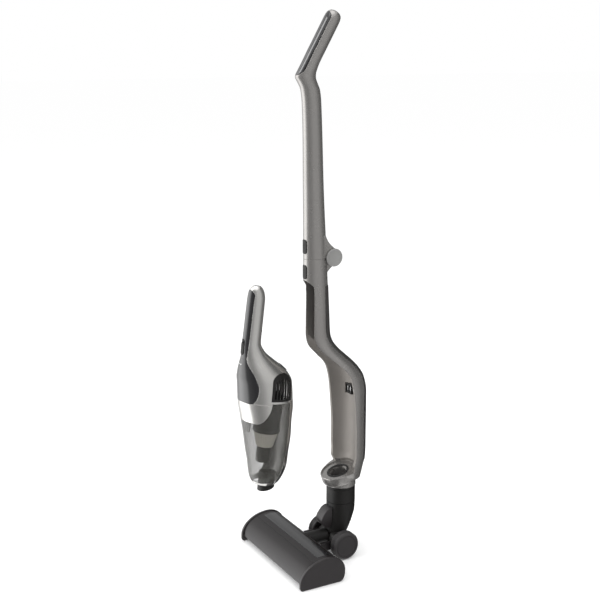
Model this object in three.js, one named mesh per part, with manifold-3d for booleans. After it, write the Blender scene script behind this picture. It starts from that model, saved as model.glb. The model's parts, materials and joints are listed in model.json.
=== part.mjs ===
// Cordless stick vacuum: a folding stick on a powered floor head, with a lift-off hand unit.
// Millimetres, +Z up, +X to the vacuum's right, -Y to its front. The floor is z = 0.
import * as THREE from "three";
import { mergeVertices } from "three/addons/utils/BufferGeometryUtils.js";
import Module from "manifold-3d";

const wasm = await Module();
wasm.setup();

// ---------------------------------------------------------------- driving dimensions

const gap = 0.3; // between pieces that fit together
const travelGap = 0.45; // around buttons and other small sliding pieces

// Everything is drawn with y = 0 on the stick's lower tube, then moved so that the
// middle of the whole vacuum's depth is y = 0.
const originShift = 22.1;

const foldAxis = { y: 40.3, z: 631 };
const knuckleRadius = 16.5;
const knuckleInner = 10;
const knuckleOuter = 16;
const capRadius = 17.8;
const capThickness = 3.4;
const pinRadius = 4;
const shellWall = 3.2;

const loftSides = 16; // facets round each shell

const handleLean = 30; // degrees that the bent handle leans back
const buttonSize = { width: 16, height: 28, travel: 2.5 };
const foldButtonZ = 655;
const dockButtonZ = 604.6;

const grooveHalf = 17.3;
const grooveFloor = 14;
const grooveTop = 588.4;

const socketTilt = 18; // degrees that the nozzle socket faces forward
const socketCentre = { y: 67, z: 168 };
const socketRadius = 39;
const nozzleSeat = { y: 62, z: 176.5 };
const ductRadius = 18;

const swivelY = 70;
const swivelZ = 110;
const neckRadius = 30;

const wheelRadius = 29.4;
const wheelInner = 37;
const wheelOuter = 57.5;
const axleAt = { y: 52, z: wheelRadius };
const axleRadius = 4.5;
const axleInner = 22;
const barrelRadius = 20;
const barrelHalf = 30;

const headHalf = 126;
const plateThickness = 6;
const brushAt = { y: -62, z: 24.4 };
const brushRadius = 12;
const bristleReach = 22;
const brushHalf = 108;
const shaftRadius = 3.5;
const motorAt = { y: -16.5, z: 26 };
const brushPulleyRadius = 13;
const motorPulleyRadius = 5.2;
const beltX = 115;

const handsetTilt = 7.5; // degrees that the parked hand unit leans back
const handsetRest = { y: -106, z: 172.5 };
const cupPartFront = 143; // heights above the nozzle mouth
const cupPartRear = 187;
const panelBottom = 182;

// ---------------------------------------------------------------- materials

const material = (color, roughness, metalness, more = {}) =>
  new THREE.MeshStandardMaterial({ color, roughness, metalness, ...more });

const finish = {
  titanium: material(0x84827f, 0.34, 0.65),
  capGrey: material(0x8c8b89, 0.45, 0.3),
  coverDark: material(0x3a3938, 0.42, 0.2),
  glossBlack: material(0x151516, 0.14, 0.1),
  mattBlack: material(0x232222, 0.55, 0.0),
  charcoal: material(0x3b3738, 0.5, 0.1),
  satinHead: material(0x4a4647, 0.38, 0.15),
  rubber: material(0x1b1b1b, 0.85, 0.0),
  silver: material(0xb9b7b2, 0.24, 0.8),
  chrome: material(0xd8d8d6, 0.12, 1.0),
  smoke: material(0x5b5a56, 0.1, 0.0, { transparent: true, opacity: 0.45 }),
  filterLight: material(0xb5b2a8, 0.7, 0.0),
  steel: material(0x9a9a9a, 0.3, 1.0),
  bristle: material(0x2c2a2c, 0.9, 0.0),
  board: material(0x24543a, 0.6, 0.1),
  cell: material(0x2f6fa8, 0.5, 0.1),
};

// ---------------------------------------------------------------- solid tools

// A closed geometry as a manifold solid.
function solid(geometry) {
  const bare = geometry.clone();
  bare.deleteAttribute("normal");
  bare.deleteAttribute("uv");
  const merged = mergeVertices(bare, 1e-4);
  const made = new wasm.Manifold(
    new wasm.Mesh({
      numProp: 3,
      vertProperties: merged.attributes.position.array,
      triVerts: new Uint32Array(merged.index.array),
    }),
  );
  return made;
}

function geometryOf(manifold) {
  const mesh = manifold.getMesh();
  const geometry = new THREE.BufferGeometry();
  geometry.setAttribute("position", new THREE.BufferAttribute(mesh.vertProperties, 3));
  geometry.setIndex(new THREE.BufferAttribute(mesh.triVerts, 1));
  geometry.computeVertexNormals();
  return geometry;
}

const union = (...solids) => solids.reduce((all, next) => all.add(next));
const cutAll = (body, ...tools) => tools.reduce((left, tool) => left.subtract(tool), body);

// A box by its low and high limits along x, y and z.
function block([x0, x1], [y0, y1], [z0, z1]) {
  const geometry = new THREE.BoxGeometry(x1 - x0, y1 - y0, z1 - z0);
  geometry.translate((x0 + x1) / 2, (y0 + y1) / 2, (z0 + z1) / 2);
  return solid(geometry);
}

// A round bar along x, y or z, from its low end to its high end.
function bar(axis, radius, [low, high], [p, q], sides = 32, endRadius = radius) {
  const geometry = new THREE.CylinderGeometry(endRadius, radius, high - low, sides);
  const middle = (low + high) / 2;
  if (axis === "x") {
    geometry.rotateZ(-Math.PI / 2);
    geometry.translate(middle, p, q);
  } else if (axis === "y") {
    geometry.translate(p, middle, q);
  } else {
    geometry.rotateX(Math.PI / 2);
    geometry.translate(p, q, middle);
  }
  return solid(geometry);
}

// A side outline in (y, z) carried from x0 to x1.
function sidePrism(shape, [x0, x1], curveSegments = 9) {
  const geometry = new THREE.ExtrudeGeometry(shape, {
    depth: x1 - x0,
    bevelEnabled: false,
    curveSegments,
  });
  const turn = new THREE.Matrix4().makeBasis(
    new THREE.Vector3(0, 1, 0),
    new THREE.Vector3(0, 0, 1),
    new THREE.Vector3(1, 0, 0),
  );
  geometry.applyMatrix4(turn);
  geometry.translate(x0, 0, 0);
  return solid(geometry);
}

// A front outline in (x, z) carried from y0 back to y1.
function frontPrism(shape, [y0, y1], curveSegments = 6) {
  const geometry = new THREE.ExtrudeGeometry(shape, {
    depth: y1 - y0,
    bevelEnabled: false,
    curveSegments,
  });
  geometry.rotateX(Math.PI / 2);
  geometry.translate(0, y1, 0);
  return solid(geometry);
}

const polygon = (points) => new THREE.Shape(points.map(([p, q]) => new THREE.Vector2(p, q)));

// A rectangle with round corners, centred on (p, q).
function roundedRectangle(p, q, width, height, radius) {
  const shape = new THREE.Shape();
  const [x, y] = [width / 2 - radius, height / 2 - radius];
  shape.absarc(p + x, q - y, radius, -Math.PI / 2, 0);
  shape.absarc(p + x, q + y, radius, 0, Math.PI / 2);
  shape.absarc(p - x, q + y, radius, Math.PI / 2, Math.PI);
  shape.absarc(p - x, q - y, radius, Math.PI, 1.5 * Math.PI);
  return shape;
}

const radians = THREE.MathUtils.degToRad;

// A body through level sections listed from the bottom up. A section is
// [height, y, half width, half depth, lean in degrees]; grow moves its outline outwards.
function loft(sections, sides = loftSides, grow = 0) {
  const rows = sections.length - 1;
  const geometry = new THREE.CylinderGeometry(1, 1, 1, sides, rows);
  const place = geometry.getAttribute("position");
  for (let i = 0; i < place.count; i += 1) {
    const [z, y, halfWidth, halfDepth, lean = 0] = sections[Math.round((place.getY(i) + 0.5) * rows)];
    const across = place.getX(i) * (halfWidth + grow);
    const back = -place.getZ(i) * (halfDepth + grow);
    const tilt = radians(lean);
    place.setXYZ(i, across, y + back * Math.cos(tilt), z - back * Math.sin(tilt));
  }
  return solid(geometry);
}

// A turned body about the z axis from a closed profile of [radius, height].
function turned(profile, sides = 28) {
  const points = profile.map(([r, z]) => new THREE.Vector2(r, z));
  const geometry = new THREE.LatheGeometry(points, sides);
  geometry.rotateX(Math.PI / 2);
  return solid(geometry);
}

const moved = (body, x, y, z) => body.translate([x, y, z]);

// ---------------------------------------------------------------- the assembly

const vacuum = new THREE.Group();
const handset = new THREE.Group();
handset.position.set(0, handsetRest.y, handsetRest.z);
handset.rotation.x = -radians(handsetTilt);

function place(group, name, body, surface) {
  const mesh = new THREE.Mesh(geometryOf(body), surface);
  mesh.name = name;
  group.add(mesh);
}

const add = (name, body, surface) => place(vacuum, name, body, surface);
const addToHandset = (name, body, surface) => place(handset, name, body, surface);

// ---------------------------------------------------------------- hand unit outline

// Heights are above the nozzle mouth and y is measured from the mouth's middle.
const handsetSections = [
  [11, -6.6, 23.4, 23, 0],
  [22, -6, 32, 30.5, 0],
  [48, -4.5, 39.5, 38.5, 0],
  [81, -8.5, 43.5, 43.5, 0],
  [113, -12, 46.5, 48, 0],
  [146, -18, 48.5, 51.8, 0],
  [178, -23, 50, 56, 0],
  [226, -31, 47, 56.4, 0],
  [241, -36, 41.5, 52, 0],
  [255, -44, 33, 43.6, 0],
  [268, -53, 24.5, 33, 0],
  [281, -62, 18.6, 24.2, 0],
  [300, -68, 15.6, 18.8, 0],
  [384, -68, 15, 17.8, 0],
  [398, -68.8, 13, 15.8, 0],
  [406, -69.3, 9.4, 11.8, 0],
  [410, -69.4, 5.5, 7.4, 0],
];

const handsetForm = (grow, sides = loftSides) => loft(handsetSections, sides, grow);

// ---------------------------------------------------------------- stick, upper half

const upperSections = [
  [foldAxis.z - 0.7, 6.4, 18.6, 24.6, 0],
  [760, 2.4, 17.2, 21.3, 0],
  [930, -2.2, 15.4, 19.6, 0],
  [956, -5.4, 15.2, 19.8, 2],
  [968, -11, 15, 20.6, 4],
  [979.5, -15.7, 15, 21.2, 2],
  [989, -12.6, 15, 18.6, 8],
  [999, -7.6, 15, 16.8, 18],
  [1012.6, -0.6, 15, 15.8, 30],
  [1038, 14.1, 15, 15.8, 30],
  [1084, 40.7, 15, 15.8, 30],
  [1093, 45.9, 13.4, 14.4, 30],
  [1097.6, 48.5, 9, 10.4, 30],
  [1099.6, 49.7, 3.4, 4.6, 30],
];

const knuckle = (radius, [x0, x1]) => bar("x", radius, [x0, x1], [foldAxis.y, foldAxis.z], 24);

// The fairing that carries a knuckle off the back of the tube.
function fairing(direction, half) {
  const { y, z } = foldAxis;
  const rise = (height) => z + direction * (height + 0.7);
  const outline = polygon([
    [12, rise(0)],
    [12, rise(44)],
    [24, rise(44)],
    [y + 6, rise(15.4)],
    [y + 14, rise(8)],
    [y + 16, rise(0)],
  ]);
  return sidePrism(outline, [-half, half]);
}

// A press button's outline on the front of the tube.
const buttonPrism = (z, play) =>
  frontPrism(
    roundedRectangle(0, z, buttonSize.width - 2 * play, buttonSize.height - 2 * play, 5 - play),
    [-40, -9],
  );

function makeUpperHalf() {
  const outer = loft(upperSections);
  const hollow = loft(
    [[foldAxis.z - 12, 6.4, 18.6, 24.6, 0], ...upperSections.slice(1, -3)],
    20,
    -shellWall,
  );
  // Outline of the grip inlay, drawn on the front of the leaning handle.
  const inlayPrism = (play) => {
    const half = 12.2 - play;
    const shape = new THREE.Shape();
    shape.moveTo(half, 0);
    shape.lineTo(half, 106);
    shape.absarc(0, 106, half, 0, Math.PI);
    shape.lineTo(-half, 0);
    shape.quadraticCurveTo(-half, play - 19, 0, play - 19);
    shape.quadraticCurveTo(half, play - 19, half, 0);
    const prism = frontPrism(shape, [-60, -4]);
    return prism.rotate([-handleLean, 0, 0]).translate([0, -6, 987]);
  };
  const inlayDepth = 1.7;
  const skin = (depth, rise) =>
    loft(upperSections, loftSides, rise).subtract(loft(upperSections, loftSides, -depth));
  const inlay = skin(inlayDepth - gap, 0.2).intersect(inlayPrism(gap));
  const recess = skin(inlayDepth, 3).intersect(inlayPrism(0));

  const half = union(outer, fairing(1, knuckleOuter - 0.4));
  const lowerStandIn = block([-40, 40], [-60, 100], [560, foldAxis.z - 0.4]);
  const ears = union(
    knuckle(knuckleRadius, [knuckleInner, knuckleOuter]),
    knuckle(knuckleRadius, [-knuckleOuter, -knuckleInner]),
  );
  const body = cutAll(
    union(half.subtract(lowerStandIn), ears),
    knuckle(knuckleRadius + 0.5, [-knuckleInner - gap, knuckleInner + gap]),
    knuckle(pinRadius + gap, [-20, 20]),
    hollow.subtract(block([-40, 40], [24, 80], [560, 700])),
    buttonPrism(foldButtonZ, 0),
    recess,
  );
  add("upper_tube", body, finish.titanium);
  add("grip_inlay", inlay, finish.glossBlack);

  const button = loft(upperSections, loftSides, 0.9)
    .intersect(buttonPrism(foldButtonZ, travelGap))
    .intersect(block([-20, 20], [-40, -12.6], [600, 700]));
  add("fold_button", button, finish.mattBlack);

  add("hinge_pin", knuckle(pinRadius, [-knuckleOuter, knuckleOuter]), finish.steel);
  for (const [side, sign] of [["right", 1], ["left", -1]]) {
    const face = turned(
      [
        [0, 0],
        [capRadius, 0],
        [capRadius, capThickness - 1.2],
        [capRadius - 1.2, capThickness],
        [0, capThickness],
      ],
      36,
    ).rotate([0, sign * 90, 0]);
    const cap = moved(face, sign * (knuckleOuter + gap), foldAxis.y, foldAxis.z);
    add(`hinge_cap_${side}`, cap, finish.capGrey);
  }
}

// ---------------------------------------------------------------- stick, lower half

const frameSections = [
  [163, 73, 37, 38, 0],
  [180, 72.6, 43, 41, 0],
  [206, 74, 49.6, 43.4, 0],
  [232, 72.4, 52, 46, 0],
  [350, 72, 52, 46.4, 0],
  [382, 66.6, 51.6, 45, 0],
  [400, 58.4, 50, 42, 0],
  [415, 49.6, 46, 37, 0],
  [430, 36.6, 39.6, 33.6, 0],
  [445, 24, 31.6, 30.6, 0],
  [460, 15, 25, 28.4, 0],
  [476, 11, 22, 27.4, 0],
  [520, 9.4, 20.6, 26.8, 0],
  [foldAxis.z - 0.7, 6.4, 18.6, 24.6, 0],
];

// What the docked hand unit's belly leaves free inside the cradle.
const cradleSections = [
  [188, 60, 40, 34, 0],
  [204, 61, 44.6, 39, 0],
  [226, 62, 47.4, 40, 0],
  [352, 62, 47.4, 40, 0],
  [380, 57, 46.6, 39.4, 0],
  [398, 50, 44, 38, 0],
  [412, 43, 39, 32, 0],
  [424, 34, 30, 24, 0],
];

// The line that the cradle's side walls end on, as seen from the side.
const cradleEdge = [
  [-20, 474],
  [-12, 466],
  [2, 450],
  [17, 434],
  [36, 418],
  [51, 405],
  [61, 391],
  [69, 360],
  [73, 320],
  [76, 262],
  [76, 214],
  [74, 196],
];

const tilted = (body) =>
  body.rotate([socketTilt, 0, 0]).translate([0, socketCentre.y, socketCentre.z]);

// y and z of the nozzle seat as measured in the tilted socket's own plane.
function seatInSocket() {
  const turn = radians(-socketTilt);
  const [dy, dz] = [nozzleSeat.y - socketCentre.y, nozzleSeat.z - socketCentre.z];
  return { y: dy * Math.cos(turn) - dz * Math.sin(turn), z: dy * Math.sin(turn) + dz * Math.cos(turn) };
}

function makeLowerHalf() {
  const seat = seatInSocket();
  const floorLevel = seat.z - 1.8;
  const outer = loft(frameSections);
  const front = sidePrism(polygon([[-90, 474], ...cradleEdge, [-90, 196]]), [-70, 70]);
  const docked = handsetForm(2.6, 14).translate([0, nozzleSeat.y, nozzleSeat.z]);
  const cradle = loft(cradleSections, loftSides);
  const groove = union(
    block([-grooveHalf, grooveHalf], [-60, grooveFloor], [440, grooveTop - grooveHalf]),
    bar("y", grooveHalf, [-60, grooveFloor], [0, grooveTop - grooveHalf], 24),
  );
  const rimLevel = floorLevel + 2.6;
  const overTray = tilted(block([-60, 60], [-140, 8], [rimLevel, 80]));
  const tray = tilted(bar("z", socketRadius, [-11, rimLevel], [0, 0], 32));
  const trayHollow = tilted(bar("z", socketRadius - 3, [floorLevel, floorLevel + 60], [0, 0], 30));
  const boss = bar("z", neckRadius + 1, [146, 172], [0, swivelY], 24);
  const duct = union(
    tilted(bar("z", ductRadius + 2.5, [floorLevel - 4, floorLevel + 40], [0, seat.y], 24)),
    bar("z", ductRadius, [130, floorLevel + socketCentre.z], [0, swivelY - 4], 24),
  );
  const lug = union(
    knuckle(knuckleRadius, [-knuckleInner, knuckleInner]),
    fairing(-1, knuckleInner - 0.4),
  );
  const earSpace = union(
    knuckle(knuckleRadius + 0.5, [knuckleInner + gap / 2, knuckleOuter + 1]),
    knuckle(knuckleRadius + 0.5, [-knuckleOuter - 1, -knuckleInner - gap / 2]),
  );
  const trim = union(
    block([-40, 40], [-60, 23], [foldAxis.z - 0.4, 700]),
    block([-40, -knuckleInner - gap / 2], [20, 34], [foldAxis.z - 0.4, 700]),
    block([knuckleInner + gap / 2, 40], [20, 34], [foldAxis.z - 0.4, 700]),
  );

  // The rear cover is a skin let into the back of the frame.
  const coverDepth = 2.4;
  const coverZone = (play) =>
    sidePrism(
      polygon([
        [99 + play, 203 + play],
        [140, 203 + play],
        [140, 430],
        [60, 575 - play],
        [21 + play, 575 - play],
        [21 + play, 490],
        [34 + play, 456],
        [62 + play, 425],
        [88 + play, 398],
        [99 + play, 370],
      ]),
      [-60, 60],
    );
  const skin = (depth, rise) =>
    loft(frameSections, loftSides, rise).subtract(loft(frameSections, loftSides, -depth));
  const cover = skin(coverDepth - gap, 0.9).intersect(coverZone(gap));
  const coverSeat = skin(coverDepth, 4).intersect(coverZone(0));

  const frame = cutAll(
    union(cutAll(outer, front, overTray), tray, boss, lug),
    cradle,
    docked,
    groove,
    trayHollow,
    duct,
    earSpace,
    trim,
    knuckle(pinRadius + gap, [-20, 20]),
    coverSeat,
    buttonPrism(dockButtonZ, 0),
  );
  // The connector block stands in a pocket in the cradle's back wall.
  const connectorZone = (play, front) =>
    block([-27 + play, -5 - play], [front, 103 - play], [333 + play, 355 - play]);
  add("lower_frame", frame.subtract(connectorZone(0, 88)), finish.titanium);
  add("rear_cover", cover, finish.coverDark);
  add("power_connector", connectorZone(gap, 96.2), finish.mattBlack);

  const button = loft(frameSections, loftSides, 0.9)
    .intersect(buttonPrism(dockButtonZ, travelGap))
    .intersect(block([-20, 20], [-40, -12.6], [500, 650]));
  add("dock_button", button, finish.mattBlack);

  const seal = tilted(
    bar("z", ductRadius + 5.4, [floorLevel + gap, floorLevel + 1.2], [0, seat.y], 24).subtract(
      bar("z", ductRadius + 1.2, [floorLevel - 1, floorLevel + 3], [0, seat.y], 24),
    ),
  );
  add("socket_seal", seal, finish.rubber);

  const collar = bar("z", neckRadius, [swivelZ + gap, 146 - gap], [0, swivelY], 40).subtract(
    bar("z", ductRadius + 2, [100, 160], [0, swivelY - 2], 24),
  );
  add("swivel_collar", collar, finish.mattBlack);
}

// ---------------------------------------------------------------- neck

function makeNeck() {
  const sections = [
    [34, 55, 21, 20, 0],
    [46, 58.5, 24.6, 23.4, 0],
    [60, 62.6, 27, 25.6, 0],
    [76, 66.6, 28.8, 27.6, 0],
    [92, 69.4, neckRadius, 29.4, 0],
    [swivelZ, swivelY, neckRadius, neckRadius, 0],
  ];
  const barrel = bar("x", barrelRadius, [-barrelHalf, barrelHalf], [axleAt.y, axleAt.z], 24);
  const inside = [
    [30, 54, 12, 12, 0],
    [46, 58.5, 15.6, 14.4, 0],
    [76, 66.6, 19.8, 18.6, 0],
    [swivelZ + 5, swivelY, 21, 21, 0],
  ];
  const mouth = bar("y", 12, [20, axleAt.y], [0, axleAt.z + 7], 20);
  const elbow = cutAll(
    union(loft(sections, 24), barrel),
    loft(inside, 18),
    mouth,
    bar("x", axleRadius + gap, [-axleInner + 0.5 - 20, -axleInner + 0.5], [axleAt.y, axleAt.z], 20),
    bar("x", axleRadius + gap, [axleInner - 0.5, axleInner + 20], [axleAt.y, axleAt.z], 20),
  );

  add("neck_elbow", elbow, finish.mattBlack);
  // The wedge that holds the stick upright when it is swung against the head.
  const wedge = polygon([
    [38, 101],
    [26, 92],
    [17, 76],
    [20, 66],
    [33, 58],
    [45, 60],
    [45, 101],
  ]);
  const stop = sidePrism(wedge, [-13, 13]).subtract(
    loft(
      [
        [30, 52, 24, 24, 0],
        [46, 58.5, 24.9, 23.7, 0],
        [60, 62.6, 27.3, 25.9, 0],
        [76, 66.6, 29.1, 27.9, 0],
        [92, 69.4, 30.3, 29.7, 0],
        [115, swivelY, 30.3, 30.3, 0],
      ],
      24,
    ),
  );
  add("upright_stop", stop, finish.charcoal);
}

// ---------------------------------------------------------------- floor head

// The head's side outline, moved inwards by inset.
function headOutline(inset, bottom) {
  const shape = new THREE.Shape();
  shape.moveTo(-90, bottom);
  shape.lineTo(-95 + inset, 13);
  shape.absellipse(-36, 13, 59 - inset, 43 - inset, Math.PI, Math.PI / 2, true);
  shape.absellipse(-36, 22, 38 - inset, 34 - inset, Math.PI / 2, 0, true);
  shape.lineTo(2 - inset, bottom);
  return shape;
}

function plateOutline() {
  const shape = new THREE.Shape();
  shape.moveTo(-93, 0);
  shape.quadraticCurveTo(-99, 0.5, -99, 8);
  shape.absellipse(-36, 12, 63, 45.6, Math.PI, Math.PI / 2, true);
  shape.absellipse(-36, 24, 39, 33.6, Math.PI / 2, 0, true);
  shape.quadraticCurveTo(3, 3, -9, 0);
  return shape;
}

function beltOutline(radiusA, radiusB) {
  const [dy, dz] = [motorAt.y - brushAt.y, motorAt.z - brushAt.z];
  const heading = Math.atan2(dz, dy);
  const half = Math.acos((radiusA - radiusB) / Math.hypot(dy, dz));
  const shape = new THREE.Shape();
  shape.absarc(brushAt.y, brushAt.z, radiusA, heading + half, heading - half + 2 * Math.PI);
  shape.absarc(motorAt.y, motorAt.z, radiusB, heading - half, heading + half);
  return shape;
}

function makeHead() {
  const chamberRadius = bristleReach + 2.2;
  const skinDepth = 1.6;
  const topSkin = (rise, depth) =>
    sidePrism(headOutline(-rise, 6), [-headHalf, headHalf], 10).subtract(
      sidePrism(headOutline(depth, 6), [-headHalf - 1, headHalf + 1], 10),
    );
  const windowZone = (play) => block([-116 + play, 116 - play], [-52 + play, -24 - play], [30, 70]);
  const bandZone = (play) => block([-headHalf, headHalf], [-15 + play, 10], [24 + play, 70]);
  const rooms = [1, -1].map((sign) => {
    const limits = [sign * 21, sign * 122].sort((p, q) => p - q);
    return block(limits, [-33.5, -1.6], [-5, 41]);
  });
  const chamber = union(
    bar("x", chamberRadius, [-122, 122], [brushAt.y, brushAt.z], 28),
    block([-122, 122], [brushAt.y - 23, brushAt.y + 23], [-5, brushAt.z]),
  );
  const arms = [1, -1].map((sign) => {
    const limits = [sign * 31, sign * 36.2].sort((p, q) => p - q);
    return union(
      block(limits, [-1, axleAt.y], [axleAt.z - 9, axleAt.z + 9]),
      bar("x", 12, limits, [axleAt.y, axleAt.z], 24),
    );
  });
  const shell = cutAll(
    union(sidePrism(headOutline(0, 6), [-headHalf, headHalf], 10), ...arms),
    chamber,
    ...rooms,
    bar("y", 12, [-50, 6], [0, axleAt.z + 7], 20),
    bar("x", axleRadius + gap, [-40, 40], [axleAt.y, axleAt.z], 20),
    bar("x", shaftRadius + gap, [-130, 130], [brushAt.y, brushAt.z], 16),
    block([beltX - 6, beltX + 6], [-60, -20], [axleAt.z - 24, 46]),
    topSkin(3, skinDepth).intersect(windowZone(0)),
    topSkin(3, skinDepth).intersect(bandZone(0)),
  );
  add("head_shell", shell, finish.satinHead);
  add("head_window", topSkin(0.2, skinDepth - gap).intersect(windowZone(gap)), finish.glossBlack);
  const band = cutAll(
    topSkin(0.2, skinDepth - gap).intersect(bandZone(gap)),
    block([-40, 40], [-3, 12], [20, 42]),
  );
  add("rear_band", band, finish.charcoal);

  for (const [side, sign] of [["right", 1], ["left", -1]]) {
    const limits = [sign * (headHalf + gap), sign * (headHalf + gap + plateThickness)].sort((p, q) => p - q);
    const plate = sidePrism(plateOutline(), limits, 9);
    const bearing = bar("x", 4, [limits[0] - 1, limits[1] - 3], [brushAt.y, brushAt.z], 20);
    add(`end_plate_${side}`, sign > 0 ? plate.subtract(bearing) : plate, finish.charcoal);
  }

  // The fixed duct between the head and the neck's barrel.
  const ductZ = axleAt.z + 7;
  const duct = cutAll(
    bar("y", 15.5, [-30, 33], [0, ductZ], 24),
    sidePrism(headOutline(-gap - 0.2, -40), [-20, 20], 10),
    bar("y", 12, [-40, 60], [0, ductZ], 20),
    bar("x", barrelRadius + 0.6, [-40, 40], [axleAt.y, axleAt.z], 32),
  );
  add("head_duct", duct, finish.mattBlack);

  const sole = cutAll(
    block([-headHalf + 0.5, headHalf - 0.5], [-37, 1], [2.4, 5.6]),
    block([-7, 7], [-20, -12], [0, 10]),
  );
  add("sole_plate", sole, finish.mattBlack);
}

function makeBrush() {
  const [y, z] = [brushAt.y, brushAt.z];
  const core = union(
    bar("x", brushRadius, [-brushHalf, brushHalf], [y, z], 24),
    bar("x", shaftRadius, [-headHalf + 1, headHalf + 2.5], [y, z], 16),
  );
  add("brush_core", core, finish.mattBlack);
  const strips = 3;
  for (let i = 0; i < strips; i += 1) {
    const strip = block([-brushHalf + 2, brushHalf - 2], [-2.4, 2.4], [brushRadius + gap, bristleReach])
      .rotate([40 + (360 / strips) * i, 0, 0])
      .translate([0, y, z]);
    add(`bristle_strip_${i + 1}`, strip, finish.bristle);
  }
  const wheelAcross = [beltX - 4, beltX + 4];
  const pulley = bar("x", brushPulleyRadius, wheelAcross, [y, z], 24);
  add("brush_pulley", pulley.subtract(bar("x", shaftRadius + gap, [90, 130], [y, z], 16)), finish.mattBlack);

  const shaft = bar("x", 2, [88, 108], [motorAt.y, motorAt.z], 16);
  const can = bar("x", 13.4, [36, 96], [motorAt.y, motorAt.z], 24);
  add("brush_motor", union(can, shaft), finish.steel);
  const pinion = bar("x", motorPulleyRadius, [108.6, beltX + 4], [motorAt.y, motorAt.z], 24);
  add("motor_pinion", pinion, finish.steel);

  const belt = sidePrism(
    beltOutline(brushPulleyRadius + 1.8, motorPulleyRadius + 1.8),
    [beltX - 3.5, beltX + 3.5],
    8,
  ).subtract(
    sidePrism(beltOutline(brushPulleyRadius + gap, motorPulleyRadius + gap), [beltX - 8, beltX + 8], 8),
  );
  add("drive_belt", belt, finish.rubber);
}

function makeWheels() {
  const width = wheelOuter - wheelInner;
  const hubRadius = 23;
  const tyre = [
    [hubRadius + gap, 1],
    [wheelRadius - 3, 0],
    [wheelRadius, 3],
    [wheelRadius, width - 5],
    [wheelRadius - 3.6, width - 0.8],
    [hubRadius + gap, width - 0.8],
    [hubRadius + gap, 1],
  ];
  const hub = [
    [axleRadius + gap, 1.6],
    [hubRadius, 1.6],
    [hubRadius, width - 1],
    [hubRadius - 8, width - 0.2],
    [0, width],
    [0, width - 6],
    [axleRadius + gap, width - 6],
    [axleRadius + gap, 1.6],
  ];
  for (const [side, sign] of [["right", 1], ["left", -1]]) {
    const mount = (profile) =>
      moved(turned(profile, 32).rotate([0, sign * 90, 0]), sign * wheelInner, axleAt.y, axleAt.z);
    const stub = [axleInner, 50].map((x) => sign * x).sort((p, q) => p - q);
    add(`axle_${side}`, bar("x", axleRadius, stub, [axleAt.y, axleAt.z], 20), finish.steel);
    add(`tyre_${side}`, mount(tyre), finish.rubber);
    add(`wheel_${side}`, mount(hub), finish.charcoal);
  }
}

// ---------------------------------------------------------------- hand unit

// The side outline of the body above the dust cup's parting line.
const bodyZone = (play) =>
  sidePrism(
    polygon([
      [-110, cupPartFront + play],
      [-56, cupPartFront + play],
      [-45, cupPartFront + 7 + play],
      [-37, cupPartFront + 22 + play],
      [-33, cupPartRear + play],
      [60, cupPartRear + play],
      [60, 430],
      [-110, 430],
    ]),
    [-70, 70],
  );

function grilleZone(play) {
  const shape = new THREE.Shape();
  const [front, back, top] = [-36 + play, 14 - play, 228];
  const middle = (front + back) / 2;
  const half = (back - front) / 2;
  shape.moveTo(front, cupPartRear + 4 + play);
  shape.lineTo(back, cupPartRear + 4 + play);
  shape.lineTo(back, top - play);
  shape.absellipse(middle, top - play, half, 17, 0, Math.PI, false);
  return sidePrism(shape, [-70, 70], 9);
}

function panelOutline(play) {
  const shape = new THREE.Shape();
  const bottom = panelBottom + play;
  const top = 267.4 - play;
  shape.moveTo(0, bottom);
  shape.lineTo(26, bottom);
  shape.bezierCurveTo(36 - play, bottom, 39 - play, bottom + 12, 39.6 - play, bottom + 30);
  shape.bezierCurveTo(39.6 - play, 240, 20, 250, 13 - play, top);
  shape.lineTo(-13 + play, top);
  shape.bezierCurveTo(-20, 250, -39.6 + play, 240, -39.6 + play, bottom + 30);
  shape.bezierCurveTo(-39 + play, bottom + 12, -36 + play, bottom, -26, bottom);
  return shape;
}

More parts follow.
